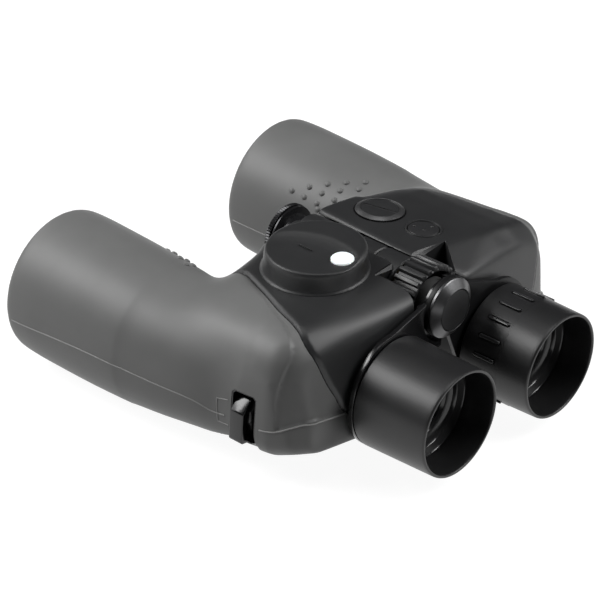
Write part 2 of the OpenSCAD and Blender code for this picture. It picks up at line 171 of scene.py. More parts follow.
def eased(x, z, radius, u0, u1, ease=1.5, sides=48):
    """A round bar along Y with its end edges eased off, for use inside a skin."""
    return [rod(x, z, radius, u0 + ease, u1 - ease, sides=sides),
        rod(x, z, radius - ease * 0.6, u0 + ease * 0.3, u1 - ease * 0.3, sides=sides),
            rod(x, z, radius - ease, u0, u1, sides=sides)]


def skin_over(pieces, name):
    """The tight convex skin over several pieces."""
    body = join(pieces, name)
    bpy.ops.object.mode_set(mode="EDIT")
    bpy.ops.mesh.select_all(action="SELECT")
    bpy.ops.mesh.convex_hull()
    bpy.ops.mesh.normals_make_consistent(inside=False)
    bpy.ops.object.mode_set(mode="OBJECT")
    return body


def rings(name, stations, sides=96, ends="both"):
    """A round body drawn out along Y through stations (u, x, z, radius); a radius of 0 closes it."""
    u, x, z, radius = stations[0]
    bpy.ops.mesh.primitive_circle_add(vertices=sides, radius=radius * mm, location=at(x, u, z),
        rotation=(-math.pi / 2, 0, 0))
    body = settle(bpy.context.object, name)
    bpy.ops.object.mode_set(mode="EDIT")
    bpy.ops.mesh.select_all(action="SELECT")
    here = (u, x, z, radius)
    for there in stations[1:]:
        start, goal = at(here[1], here[0], here[2]), at(there[1], there[0], there[2])
        bpy.ops.mesh.extrude_region_move(TRANSFORM_OT_translate={"value": goal - start})
        if there[3] == 0:
            bpy.ops.mesh.merge(type="CENTER")
            break
        grow = there[3] / here[3]
        bpy.ops.transform.resize(value=(grow, grow, grow), center_override=goal)
        here = there
    bpy.ops.mesh.select_all(action="SELECT")
    bpy.ops.mesh.remove_doubles(threshold=1e-6)
    if ends == "both":
        bpy.ops.mesh.select_all(action="DESELECT")
        bpy.ops.mesh.select_non_manifold(extend=False, use_multi_face=False, use_non_contiguous=False)
        bpy.ops.mesh.fill_holes(sides=0)
        bpy.ops.mesh.select_all(action="SELECT")
    bpy.ops.mesh.normals_make_consistent(inside=False)
    bpy.ops.object.mode_set(mode="OBJECT")
    return body


def modify(piece, kind, **settings):
    """Adds a modifier, sets it and applies it."""
    pick(piece)
    bpy.ops.object.modifier_add(type=kind)
    modifier = piece.modifiers[-1]
    for key, value in settings.items():
        setattr(modifier, key, value)
    bpy.ops.object.modifier_apply(modifier=modifier.name)
    return piece


def cut(piece, *cutters):
    for cutter in cutters:
        modify(piece, "BOOLEAN", operation="DIFFERENCE", solver="MANIFOLD", object=cutter)
        bpy.data.objects.remove(cutter)
    return piece


def mirrored(piece):
    """Turns a piece made for the right half into its left-hand twin."""
    piece.scale = (-1, 1, 1)
    settle(piece)
    bpy.ops.object.mode_set(mode="EDIT")
    bpy.ops.mesh.select_all(action="SELECT")
    bpy.ops.mesh.normals_make_consistent(inside=False)
    bpy.ops.object.mode_set(mode="OBJECT")
    return piece


def smooth_shade(piece, degrees=35):
    pick(piece)
    bpy.ops.object.shade_smooth_by_angle(angle=math.radians(degrees))
    return piece


def block(corners, name="block"):
    """A convex block through the given corners (x, u, z)."""
    bpy.ops.mesh.primitive_cube_add(size=0.01 * mm, location=at(*corners[0]))
    first = settle(bpy.context.object, name)
    bpy.ops.object.mode_set(mode="EDIT")
    for corner in corners[1:]:
        bpy.ops.mesh.primitive_cube_add(size=0.01 * mm, location=at(*corner))
    bpy.ops.mesh.select_all(action="SELECT")
    bpy.ops.mesh.convex_hull()
    bpy.ops.mesh.normals_make_consistent(inside=False)
    bpy.ops.object.mode_set(mode="OBJECT")
    return first


def curve_through(points, steps=6):
    """A smooth run (Catmull-Rom) of tuples through the given ones."""
    ends = [points[0]] + list(points) + [points[-1]]
    run = []
    for near in zip(ends, ends[1:], ends[2:], ends[3:]):
        for i in range(steps):
            t = i / steps
            run.append(tuple(
                0.5 * (2 * b + (c - a) * t + (2 * a - 5 * b + 4 * c - d) * t * t
                + (3 * b - a - 3 * c + d) * t ** 3)
                for a, b, c, d in zip(*near)))
    return run + [points[-1]]


EYE_X, EYE_Z = 33.65, 31
BARREL_X, BARREL_Z = 69.1, 33.5
HINGE_Z = 57.5
BARREL = curve_through([  # u, offset outwards, offset up, radius
    (84, 0, -2, 25), (98, 0, -2, 28), (120, 0, -2, 30.8), (150, 0.1, -1.2, 32.5), (180, 0.1, -0.3, 33)],
        4) + [
    (188, 0, -0.1, 32.8), (191.5, 0, 0, 32.5), (192.5, 0, 0, 32), (193, 0, 0, 31.2)]


def recess(inset):
    """The round-cornered recess of the strap bar, drawn in by inset."""
    rear, front, low, high = 60.6 + inset, 72.7 - inset, 16 + inset, 39.4 - inset
    return block([(x, u, z) for x in (84, 97) for u, z in (
        (rear + 1.2, low), (front - 1.2, low), (rear, low + 1.2), (front, low + 1.2), (rear, high - 1.2),
        (front, high - 1.2), (rear + 1.2, high),
        (front - 1.2, high))])


def half_body(name, crown, swells, soften, inner_front, inner_rear):
    """The whole outer shape of the right half, before it is parted into rubber and cover."""
    box = skin_over(
        [rod(EYE_X, EYE_Z, 20.5, 40.5, 48, 24.2)]
        + eased(68.5, 46, 13, 46, 50) + eased(68.5, 46, 20, 54, 62)
        + eased(68.5, 45.5, 18, 94, 104)
        + eased(68, 24, 10, 41, 44, 1) + eased(74.6, 24, 10.5, 46, 50)
        + [rod(74.6, 24, 14.2, 56, 115, 20.9)]
        + [rod(inner_front, 68.5, 2.5, 100, 115, sides=24), rod(inner_rear, 68.5, 2.5, 58, 60, sides=24)]
        + [piece for x, z, r, u0, u1, ease in crown for piece in eased(x, z - r, r, u0, u1, ease)]
        + [rod(x, z - r, r, u0, u1) for x, z, r, u0, u1 in swells]
        + eased(EYE_X + 2, EYE_Z + 1, 21, 58, 93)
        + eased(52, 10.5, 10.5, 68, 98, 2),
        name)
    barrel = rings("barrel", [(u, BARREL_X + dx, BARREL_Z + dz, r) for u, dx, dz, r in BARREL], sides=96)
    shoulder = skin_over([rod(68.5, 45.5, 18, 94, 103), rod(69, 37.5, 23, 118, 124)], "shoulder")
    body = join([box, barrel, shoulder], name)
    modify(body, "REMESH", mode="VOXEL", voxel_size=1.1 * mm, adaptivity=0)
    modify(body, "SMOOTH", factor=0.5, iterations=7)
    # softer where box and barrel meet, over the outer shoulder, and at the rear slope
    softened = [((100, 126), 30, 0, 10), ((70, 130), 60, 0, 45), ((78, 126), 66, 0, 45),
        ((30, 64), 0, 48, soften)]
    for (u0, u1), x0, z0, repeat in softened:
        for vertex in body.data.vertices:
            x, u, z = vertex.co.x / mm, vertex.co.y / mm + 96.5, vertex.co.z / mm
            vertex.select = u0 < u < u1 and x > x0 and z > z0
        bpy.ops.object.mode_set(mode="EDIT")
        bpy.ops.mesh.select_mode(type="VERT")
        bpy.ops.mesh.vertices_smooth(factor=0.5, repeat=repeat)
        bpy.ops.object.mode_set(mode="OBJECT")
    return body


def hollow(body, notch, top, wide):
    """Makes room for what sits in a half or turns beside it."""
    # room for the hinge, the focus wheel, the eyepiece and the objective
    cut(body,
        rod(0, HINGE_Z, 13.4, 30, 125, sides=96), rod(0, HINGE_Z, 16.5, 30, 58.6, sides=96),
        rod(EYE_X, EYE_Z, 19.5, 30, 60, sides=96),
        rings("bore", [(120, BARREL_X, BARREL_Z, 24), (176, BARREL_X, BARREL_Z, 27.2),
        (191.4, BARREL_X, BARREL_Z, 27.2),
                       (195, BARREL_X, BARREL_Z, 30.6)]),
        block([(x, u, z) for x, u in notch for z in (60, 80)]),
        block([(2, notch[0][1] + u, z) for u,
        z in ((-1, 76), (wide, 76), (wide, top + 0.2), (-1, top - 0.2 - wide))]
              + [(notch[1][0] + 0.5, notch[1][1] + u, z) for u,
                  z in ((-1, 76), (0.3, 76), (0.3, top + 0.2), (-1, top - 0.8))]),
        recess(0),
        block([(x, u, z) for x in (30, 110) for u in (30, 200) for z in (-6, 0.03)]))
    return body


def slab(name, corners, along):
    """A flat outline (points in metres) drawn out by the vector along."""
    bpy.ops.mesh.primitive_circle_add(vertices=len(corners), radius=mm, fill_type="NGON")
    piece = settle(bpy.context.object, name)
    for vertex, corner in zip(piece.data.vertices, corners):
        vertex.co = corner
    bpy.ops.object.mode_set(mode="EDIT")
    bpy.ops.mesh.select_all(action="SELECT")
    bpy.ops.mesh.extrude_region_move(TRANSFORM_OT_translate={"value": along})
    bpy.ops.mesh.select_all(action="SELECT")
    bpy.ops.mesh.normals_make_consistent(inside=False)
    bpy.ops.object.mode_set(mode="OBJECT")
    return piece


def slanted(name, outline):
    """A long prism whose outline is in x and in the slanted height 0.75 u + 0.65 z."""
    rear, lie = Vector((0, -0.6549, 0.7557)), Vector((0, 0.7557, 0.6549))
    corners = [at(x, 0, 0) + lie * (height / 0.9925 * mm) - rear * 0.2 for x, height in outline]
    return slab(name, corners, rear * 0.4)


def copy_of(piece, name, swell=0):
    """A copy with its own mesh, grown by swell mm along its normals."""
    pick(piece)
    bpy.ops.object.duplicate()
    twin = bpy.context.object
    twin.name = twin.data.name = name
    if swell:
        bpy.ops.object.mode_set(mode="EDIT")
        bpy.ops.mesh.select_all(action="SELECT")
        bpy.ops.transform.shrink_fatten(value=swell * mm)
        bpy.ops.object.mode_set(mode="OBJECT")
    return twin


def bead(name, points, radius, target):
    """A fine raised line that follows a surface through the given points."""
    run = [target.closest_point_on_mesh(at(*p))[1] for p in curve_through(points)]
    line = bpy.data.curves.new(name, "CURVE")
    line.dimensions = "3D"
    line.bevel_depth = radius * mm
    line.bevel_resolution = 2
    line.use_fill_caps = True
    spline = line.splines.new("POLY")
    spline.points.add(len(run) - 1)
    for point, place in zip(spline.points, run):
        point.co = (*place, 1)
    piece = bpy.data.objects.new(name, line)
    bpy.context.collection.objects.link(piece)
    pick(piece)
    bpy.ops.object.convert(target="MESH")
    return bpy.context.object


def moulded(name, dark, light, rough=(0.4, 0.5), grain=2600, depth=0.05, cloud=32, **extra):
    """A material of two close tones in soft clouds, with a fine surface grain depth mm deep."""
    material, add, shader, tree = new_material(name)
    place = add("TexCoord").outputs["Object"]
    haze = add("TexNoise", {"Vector": place, "Scale": cloud, "Detail": 3, "Roughness": 0.6})
    tone = add("ValToRGB", {"Fac": haze.outputs["Fac"]})
    for stop, where, colour in zip(tone.color_ramp.elements, (0.3, 0.72), (dark, light)):
        stop.position, stop.color = where, (*colour, 1)
    tree.links.new(tone.outputs["Color"], shader.inputs["Base Color"])
    noise = add("TexNoise", {"Vector": place, "Scale": grain, "Detail": 2})
    gloss = add("MapRange", {"Value": noise.outputs["Fac"], "To Min": rough[0], "To Max": rough[1]})
    tree.links.new(gloss.outputs["Result"], shader.inputs["Roughness"])
    bump = add("Bump", {"Height": noise.outputs["Fac"], "Strength": 0.35, "Distance": depth * mm})
    tree.links.new(bump.outputs["Normal"], shader.inputs["Normal"])
    for socket, value in extra.items():
        shader.inputs[socket.replace("_", " ")].default_value = value
    return material


armour_rubber = moulded("armour_rubber", (0.13, 0.131, 0.129), (0.15, 0.151, 0.149), (0.42, 0.52),
    depth=0.06)
# the seam beads are a lighter grey than the rubber: a painted highlight for the light the raised lines
# catch
seam_painted_highlight = moulded("seam_painted_highlight", (0.27, 0.27, 0.265), (0.33, 0.33, 0.325), (0.3, 0.4), depth=0.03)
cover_plastic = moulded("cover_plastic", (0.016, 0.0163, 0.017), (0.0215, 0.0218, 0.0225), (0.39, 0.49),
    3200, 0.05, 40)

# where cover and rubber part, and where the rubber steps up: x and slanted height
EDGE = {
    "right": [(50, 140)] + curve_through(
        [(60.5, 130), (65.5, 119), (69.5, 107), (70.5, 97), (73.5, 85.5),
         (77.5, 76.5), (72.5, 60.5), (66, 52.5), (58, 48)], 4),
    "left": [(41, 140)] + curve_through(
        [(48.5, 126.5), (59, 106.5), (66.5, 93), (72, 78), (68, 64.5), (61, 53.5), (55, 48)], 4)}
STEP = {
    "right": curve_through(
        [(64.5, 123), (73.5, 103), (78, 87), (83.5, 77.5), (86.5, 68), (87, 56)], 4),
    "left": curve_through(
        [(50.5, 124), (63, 103.5), (74, 87), (79, 77.5), (84.5, 72), (87, 65), (87, 56)], 4)}
SEAM = [(101.5, 189, 27), (101.5, 148, 30), (98, 105, 29), (95.5, 90.5, 28), (92.5, 82, 25.5),
    (92, 75.5, 25.5)]
SEAM_REAR = [(89.5, 58.5, 25.5), (87, 52, 26.5), (80.5, 44.5, 30), (69, 41, 29.5), (57.5, 40.5, 28)]
SEAM_INNER = [(37, 189, 27), (37, 160, 27), (39, 130, 27)]


def slanted_height(u, z):
    """How far a point is up the slope on which cover and rubber part."""
    return 0.75 * u + 0.65 * z


def bumps_on(rubber):
    """Joins the grip bumps for the fingers to the inner side of a barrel, in slanting rows."""
    first_u, first_turn, pitch, turn_pitch, reach = 159.3, 33.5, 7.4, 8.6, 32
    spots = [(first_u - 2.2 * pitch, first_turn - 5.5)]
    for row, count in enumerate((5, 4, 2)):
        for column in range(count):
            spots.append((first_u - pitch * (row + column), first_turn - 0.7 * row + turn_pitch * column))
    domes = []
    for u, turn in spots:
        side, up = reach * math.cos(math.radians(turn)), reach * math.sin(math.radians(turn))
        place, normal = rubber.closest_point_on_mesh(at(BARREL_X - side, u, BARREL_Z + up))[1:3]
        bpy.ops.mesh.primitive_uv_sphere_add(segments=20, ring_count=12, radius=1.4 * mm, location=place,
                                             rotation=normal.to_track_quat("Z", "Y").to_euler(),
                                             scale=(1, 1, 0.6))
        domes.append(settle(bpy.context.object))
    return join([rubber] + domes, rubber.name)


# the top of each half: bars (x, top, radius, from u, to u, ease) along its crown, and
# plain ones (x, top, radius, from u, to u) that swell the slope down to the eyepiece
CROWN = {
    "right": [(27, 71, 18, 57.5, 113.4, 1.5), (36, 70.7, 20, 53.5, 112, 1.5),
    (46, 70, 20, 51.8, 110.2, 1.5),
              (56, 68.8, 20, 51.8, 106.8, 1.5), (64, 67.2, 20, 53, 84, 2)],
    "left": [(28, 69.1, 18, 53, 113.5, 9), (43, 67.5, 8, 51.5, 113.5, 6), (52, 67, 18, 49.5, 84, 9),
             (62, 66.2, 20, 48, 80, 9)]}
SWELLS = {
    "right": [(18.5, 63.2, 1.5, 40.5, 42), (30, 66.2, 6, 47.3, 50), (44, 64.6, 12, 45.5, 49),
    (57, 62, 15, 45.5, 49)],
    "left": [(9, 63.5, 1.5, 40.5, 42), (14, 64.8, 2, 46, 48), (30, 64.3, 14, 46, 48),
    (46, 62.8, 16, 46, 48),
             (22, 61.4, 8, 42, 44), (34, 59.4, 10, 42, 44)]}
# what is cut out of each top behind the focus wheel, as (x, u)
NOTCH = {
    "right": [(-2, 58.6), (24.2, 58.6), (12.2, 51.8), (11.5, 40), (-2, 40)],
    "left": [(-2, 60.6), (19.1, 60.6), (12, 51), (12, 40), (-2, 40)]}

covers, armours, recess_dark_shells = {}, {}, {}
for side, half in ((1, "right"), (-1, "left")):
    if side > 0:
        body = half_body("right_body", CROWN[half], SWELLS[half], 8, 9, 5.4)
    else:
        body = half_body("left_body", CROWN[half], SWELLS[half], 45, 7.5, 7.5)
    edge, step = EDGE[half], STEP[half]
    # the lowered band beside the cover, softened like the rest of the rubber
    low_end = [(x, slanted_height(u, z)) for x, u, z in SEAM_REAR[2:]] + [(50, 47.9)]
    cut(body, cut(slanted("band", [(x - 1, h) for x, h in edge[1:-1] if h < step[0][1]] + low_end[::-1]
        + step[::-1]), copy_of(body, "core", -1.0)))
    modify(body, "REMESH", mode="VOXEL", voxel_size=0.8 * mm, adaptivity=0)
    modify(body, "SMOOTH", factor=0.5, iterations=2)
    # a thin shell over the walls of the strap recess; it is later joined to the strap bar in its glossy
    # black, so the recess walls are dark
    recess_dark_shell = cut(recess(0.02), recess(0.6))
    modify(recess_dark_shell, "BOOLEAN", operation="INTERSECT", solver="MANIFOLD", object=copy_of(body, "core", -0.2))
    bpy.data.objects.remove(bpy.data.objects["core"])
    recess_dark_shells[half] = recess_dark_shell
    hollow(body, NOTCH[half], 71 if side > 0 else 69.3, 3.6 if side > 0 else 2.2)
    share = slanted("share", [(-60, 240), (-60, 47.9)] + edge[::-1] + [(edge[0][0] - 30, 240)])
    pick(share)
    bpy.ops.object.mode_set(mode="EDIT")
    bpy.ops.mesh.select_all(action="SELECT")
    bpy.ops.mesh.bisect(plane_co=at(0, 60, 27), plane_no=(0, -0.08, 1), use_fill=True, clear_inner=True)
    bpy.ops.mesh.select_all(action="SELECT")
    front = {"plane_co": at(9, 116.3, 40),
        "plane_no": (0.24, 1, 0)} if side > 0 else {"plane_co": at(7, 115.5, 40), "plane_no": (0.05, 1, 0)}
    bpy.ops.mesh.bisect(use_fill=True, clear_outer=True, **front)
    bpy.ops.object.mode_set(mode="OBJECT")
    cover = copy_of(body, half + "_cover")
    modify(cover, "BOOLEAN", operation="INTERSECT", solver="MANIFOLD", object=share)
    rubber = copy_of(body, half + "_rubber")
    gap = slanted("gap", [(x - 2, h) for x, h in edge] + [(x + 0.35, h) for x, h in edge[::-1]])
    pick(gap)
    bpy.ops.object.mode_set(mode="EDIT")
    bpy.ops.mesh.select_all(action="SELECT")
    bpy.ops.mesh.bisect(use_fill=True, clear_outer=True, **front)
    bpy.ops.object.mode_set(mode="OBJECT")
    cut(gap, copy_of(body, "core", -1.3))
    cut(rubber, share, gap)
    bpy.data.objects.remove(body)
    bumps_on(rubber)
    dress(rubber, armour_rubber)
    lines = [bead("line", SEAM, 0.3, rubber), bead("line", SEAM_REAR, 0.36, rubber),
        bead("line", SEAM_INNER, 0.3, rubber),
             bead("line", [(92, 74.2, 33.4), (92, 78.6, 32.6), (92, 79.3, 31.8), (92, 78.9, 22),
             (92, 78.2, 21.2), (92, 74, 21)], 0.22, rubber)]
    # the beads wear the lighter grey, a painted highlight along the seams
    for line in lines:
        dress(line, seam_painted_highlight)
    join([rubber] + lines, rubber.name)
    covers[half], armours[half] = cover, rubber

# the round recesses for the battery cap and the lamp button
CAP, LAMP = (25.5, 95.5), (26.1, 71.8)
LAMP_SEAT_DEPTH = 2.3  # clears the foot of the button when it is pressed


def upright(name, profile, sides=96, ends="both"):
    """A round body about Z through stations (height, radius), standing at the origin."""
    piece = rings(name, [(96.5 + h, 0, 0, r) for h, r in profile], sides, ends)
    piece.rotation_euler = (math.pi / 2, 0, 0)
    return settle(piece)


def put(piece, matrix):
    piece.matrix_world = matrix
    return settle(piece)


cut(covers["right"],
    put(upright("seat", [(-1.4, 11.35), (-0.2, 11.35), (4, 11.75)]), Matrix.Translation(at(*CAP, 71))),
    put(upright("seat", [(-LAMP_SEAT_DEPTH, 8.15), (4, 8.15)]), Matrix.Translation(at(*LAMP, 71))))

for side, half in ((1, "right"), (-1, "left")):
    cover, rubber = covers[half], armours[half]
    # the two hinge lugs, cast with this half
    first, lug_step, lug_length = 73 if side > 0 else 59, 28, 13.6
    lugs = []
    for u in (first, first + lug_step):
        end = u + lug_length
        lugs.append(rings("lug", [(v, 0, HINGE_Z, r) for v, r in (
            (u, 12.2), (u + 0.5, 12.8), (end - 0.5, 12.8), (end, 12.2), (end, 7.05), (u, 7.05), (u, 12.2))],
            96, "loop"))
        web = block([(x, v, z) for x in (8, 15.5) for v in (u, end) for z in (48.5, 60.5)])
        lugs.append(modify(web, "BEVEL", width=0.5 * mm, segments=2))
    if side < 0:
        mirrored(cover)
        mirrored(rubber)
        for lug in lugs:
            mirrored(lug)
    join([cover] + lugs, cover.name)
    smooth_shade(cover, 38)
    smooth_shade(rubber, 38)
    dress(cover, cover_plastic)
    for piece, node, slot in ((cover, half + "_housing", "housing"), (rubber, half + "_armour", "armour")):
        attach(piece, half + "_half")
        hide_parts(node)

# ---- Objective fronts
# A black anodised ring screws down on each 50 mm objective; behind the glass the
# tube is ridged against stray light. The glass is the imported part's own.

black_trim = moulded("black_trim", (0.012, 0.012, 0.013), (0.018, 0.018, 0.019), (0.3, 0.42), 2200, 0.03,
    60)
lens_glass, add, shader, tree = new_material("lens_glass")
place = add("TexCoord").outputs["Object"]
haze = add("TexNoise", {"Vector": place, "Scale": 55, "Detail": 2})
tone = add("ValToRGB", {"Fac": haze.outputs["Fac"]})
tone.color_ramp.elements[0].color, tone.color_ramp.elements[1].color = (0.86, 0.93, 0.88, 1), (0.93, 0.9,
    0.97, 1)
tree.links.new(tone.outputs["Color"], shader.inputs["Base Color"])
film = add("MapRange", {"Value": haze.outputs["Fac"], "To Min": 0.004, "To Max": 0.016})
tree.links.new(film.outputs["Result"], shader.inputs["Roughness"])
shader.inputs["Transmission Weight"].default_value = 1
shader.inputs["IOR"].default_value = 1.52

for side, half in ((1, "right"), (-1, "left")):
    x, z = BARREL_X, BARREL_Z
    ring = rings(half + "_ring", [(u, x, z, r) for u, r in (
        (188.1, 27.0), (188.1, 25.2), (190.4, 25.2), (190.9, 25.5), (191.3, 26.0), (191.3, 26.5),
        (191.0, 26.9), (190.6, 27.1), (188.1, 27.0))],
        128, "loop")
    notches = []
    for turn in (0, 180):
        notch = block([(x + 24, u, z + w) for u in (190.3, 193) for w in (-1, 1)]
            + [(x + 28, u, z + w) for u in (190.3, 193) for w in (-1, 1)])
        put(notch, Matrix.Translation(at(x, 96.5, z)) @ Matrix.Rotation(math.radians(turn + 30), 4, "Y")
            @ Matrix.Translation(-at(x, 96.5, z)))
        notches.append(notch)
    cut(ring, join(notches, "notches"))
    baffle = [(122, 24.0)]
    for i in range(14):
        baffle += [(124 + i * 3.6, 24.1 + i * 0.17), (124.4 + i * 3.6, 22.9 + i * 0.17),
            (125.2 + i * 3.6, 24.1 + i * 0.17)]
    baffle += [(176, 26.6), (176, 26.9), (121, 25.0), (121, 24.0), (122, 24.0)]
    tube = rings(half + "_baffle", [(u, x, z, r - 0.4) for u, r in baffle], 96, "loop")
    for piece, node in ((ring, half + "_front_ring"), (tube, None)):
        if side < 0:
            mirrored(piece)
        smooth_shade(piece, 30)
        dress(piece, black_trim)
        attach(piece, half + "_half")
        if node:
            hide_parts(node)
    dress(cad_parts[half + "_objective"], lens_glass)

# ---- Strap bars
# A moulded bar stands in a recess at the outer side of each housing. Its face is
# flush with the rubber, the top slopes up inwards, and the strap runs behind it.

bar_gloss = moulded("bar_gloss", (0.006, 0.006, 0.0065), (0.009, 0.009, 0.0095), (0.13, 0.2), 700, 0.008,
    50)
for side, half in ((1, "right"), (-1, "left")):
    profile = [(1, -14.8), (7.4, -14.2), (8.3, -13.2), (8.3, -0.4), (7.8, 0.4), (3.2, 5), (1, 5)]
    bar = slab(half + "_strap_lug", [at(84 + x, 64.7, 31 + z) for x, z in profile], Vector((0, 7 * mm, 0)))
    cut(bar, block([(84 + x, u, 31 + z) for x in (-1, 5.8) for u in (60, 75) for z in (-11.6, -0.6)]))
    plate = block([(x, u, z) for x in (83.8, 84.8) for u in (60.8, 72.5) for z in (16.2, 39.2)])
    bar = modify(join([bar, plate], bar.name), "BEVEL", width=0.8 * mm, segments=4, limit_method="ANGLE")
    # the dark shell over the recess walls goes with the bar and takes its black
    join([bar, recess_dark_shells[half]], bar.name)
    if side < 0:
        mirrored(bar)
    smooth_shade(bar, 40)
    dress(bar, bar_gloss)
    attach(bar, half + "_half")
    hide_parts(half + "_strap_bar")

# ---- Hinge and its front collar
# The lugs of both halves turn on a steel tube. In front a black collar closes it:
# a slim neck, a thin flange and a knurled rim round the threaded tripod socket.


def knurled(piece, count, x, z, depth, u0, u1):
    """Draws every second row of a round piece's side in by depth, between stations u0 and u1."""
    for vertex in piece.data.vertices:
        u = vertex.co.y / mm + 96.5
        dx, dz = vertex.co.x - x * mm, vertex.co.z - z * mm
        if u0 < u < u1 and round(math.atan2(dz, dx) / math.tau * 2 * count) % 2:
            shrink = 1 - depth * mm / math.hypot(dx, dz)
            vertex.co.x, vertex.co.z = x * mm + dx * shrink, z * mm + dz * shrink
    return piece


anodised = moulded("anodised_black", (0.02, 0.02, 0.021), (0.028, 0.028, 0.03), (0.2, 0.3), 1800, 0.02, 60,
    Metallic=0.6)
collar = rings("front_collar", [(u, 0, HINGE_Z, r) for u, r in (
    (115.2, 10.4), (121.7, 10.4), (121.9, 10.8), (122.1, 13.0), (122.3, 13.4), (122.9, 13.4), (123.1, 13.1),
    (123.2, 12.5), (123.7, 12.5),
    (123.75, 13.5), (123.95, 13.8), (125.5, 13.8), (125.8, 13.6), (126, 13.1), (126, 4.0), (125.6, 3.3),
    (118.8, 3.2), (118.6, 0))], 144)
knurled(collar, 72, 0, HINGE_Z, 0.4, 123.9, 125.7)
smooth_shade(collar, 25)
dress(collar, anodised)
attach(collar, "left_half")
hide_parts("tripod_collar")

# ---- Compass dome
# A black moulded dome screws onto the slanting top of the left half. One side of
# its top is sunk to a flat floor; a white light window lies in a round recess.

dome = rings("dome_shell", [(96.5 + h, x, 0, r) for h, x, r in (
    (-1.4, 0, 22.4), (-0.1, 0, 22.9), (0.2, 0, 23.15), (0.6, 0, 23.1), (0.95, 0, 22.7), (1.3, 0.05, 21.95),
    (4.0, 0.3, 21.7), (8.0, 0.6, 21.5), (9.2, 0.8, 21.2),
    (10.0, 0.9, 20.7), (10.55, 1.0, 19.9), (10.8, 1.0, 19.1), (10.9, 1.0, 18.3), (10.9, 1.0, 0))], 144)
dome.rotation_euler = (math.pi / 2, 0, 0)
settle(dome)
floor_cut = rings("floor_cut",
    [(96.5 + h, -24, 4.5, r) for h,
    r in ((8.9, 24), (9.1, 27), (9.7, 29.8), (10.35, 31.8), (11.1, 33.6), (14, 37))], 160)
floor_cut.rotation_euler = (math.pi / 2, 0, 0)
settle(floor_cut)
put(floor_cut, Matrix.Translation((4 * mm, 0, 9.4 * mm)) @ Matrix.Rotation(math.radians(2.2), 4, "Y")
    @ Matrix.Translation((-4 * mm, 0, -9.4 * mm)))
cut(dome, floor_cut)
modify(dome, "REMESH", mode="VOXEL", voxel_size=0.38 * mm, adaptivity=0)
modify(dome, "SMOOTH", factor=0.5, iterations=20)
cut(dome, put(upright("recess", [(8.6, 4.9), (9.0, 5.2), (14, 6.0)]),
    Matrix.Translation((1.4 * mm, -13.6 * mm, 0))))
mark = slab("mark", [Vector((x * mm, y * mm, 9.45 * mm)) for x,
    y in ((-2.6, -0.2), (-2.05, -0.2), (-1.75, 7.1), (-2.3, 7.1))], Vector((0, 0, 0.55 * mm)))
modify(mark, "BEVEL", width=0.15 * mm, segments=2)
join([dome, mark], "dome_shell")
window = put(upright("light_window", [(8.6, 4.85), (9.6, 4.85), (9.95, 4.5), (10.15, 3.4), (10.25, 0)]),
    Matrix.Translation((1.4 * mm, -13.6 * mm, 0)))
base = Matrix.Translation(at(-31.5, 82.3, 68.8)) @ Matrix.Rotation(math.radians(-5.3), 4, "Y")
# the window's emission is a painted glow, not a lamp: it makes the white window brighter than the lamps
# light it
white_acrylic_painted_glow = moulded("white_acrylic_painted_glow", (0.9, 0.9, 0.89), (0.95, 0.95, 0.94), (0.12, 0.2), 900, 0.01, 90,
    Subsurface_Weight=0.25,
                        Emission_Color=(1, 1, 0.99, 1), Emission_Strength=0.35)
for piece, material, node, slot in ((dome, cover_plastic, "compass_dome", "housing"),
    (window, white_acrylic_painted_glow, "compass_window", "window")):
    put(piece, base)
    smooth_shade(piece, 40)
    dress(piece, material)
    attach(piece, "left_half")
    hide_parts(node)

# ---- Battery cap and lamp button
# A satin metal cap with a coin slot screws over two coin cells on the right half.
# Next to it a soft round button with three pips sits in a shallow bezel.

satin_metal = moulded("satin_metal", (0.1, 0.1, 0.102), (0.13, 0.13, 0.132), (0.32, 0.42), 1500, 0.02, 90,
    Metallic=0.8)
cap = upright("cap_ring",
    [(-1.2, 10.6), (-0.5, 10.9), (0.4, 10.9), (0.55, 10.75), (1.4, 9.1), (1.5, 8.8), (1.4, 8.5),
    (1.0, 8.35), (0.85, 0)], 144)
for vertex in cap.data.vertices:
    if -0.6 * mm < vertex.co.z < 0.5 * mm and round(math.atan2(vertex.co.y,
        vertex.co.x) / math.tau * 144) % 2:
        vertex.co.x, vertex.co.y = vertex.co.x * 0.965, vertex.co.y * 0.965
disc = upright("cap_disc", [(0.3, 8.3), (1.05, 8.3), (1.2, 8.15), (1.25, 7.8), (1.25, 0)], 96)
groove = block([(x, 96.5 + y, z) for x in (-7.6, 7.6) for y in (-0.65, 0.65) for z in (0.2, 3)])
put(groove, Matrix.Rotation(math.radians(-76), 4, "Z"))
cut(disc, groove)
modify(disc, "BEVEL", width=0.22 * mm, segments=2, limit_method="ANGLE", angle_limit=math.radians(50))
bezel = upright("button_rim",
    [(-1.2, 8.1), (0.0, 8.1), (0.35, 7.9), (0.45, 7.6), (0.35, 7.3), (-0.25, 7.0), (-1.2, 6.9),
    (-1.2, 8.1)], 96, "loop")
button = upright("soft_button", [(-1.2, 6.7), (-0.2, 6.7), (0.1, 6.5), (0.4, 5.2), (0.6, 3.0), (0.65, 0)],
    72)
pips = []
for x, y in ((-1.75, 3.64), (-1.8, -1.6), (3.25, -2.0)):
    bpy.ops.mesh.primitive_uv_sphere_add(segments=20, ring_count=12, radius=0.7 * mm,
        location=(x * mm, y * mm, 0.5 * mm), scale=(1, 1, 0.75))
    pips.append(settle(bpy.context.object))
join([button] + pips, "soft_button")
soft_black = moulded("soft_black", (0.014, 0.014, 0.015), (0.02, 0.02, 0.021), (0.4, 0.5), 2400, 0.04, 60)
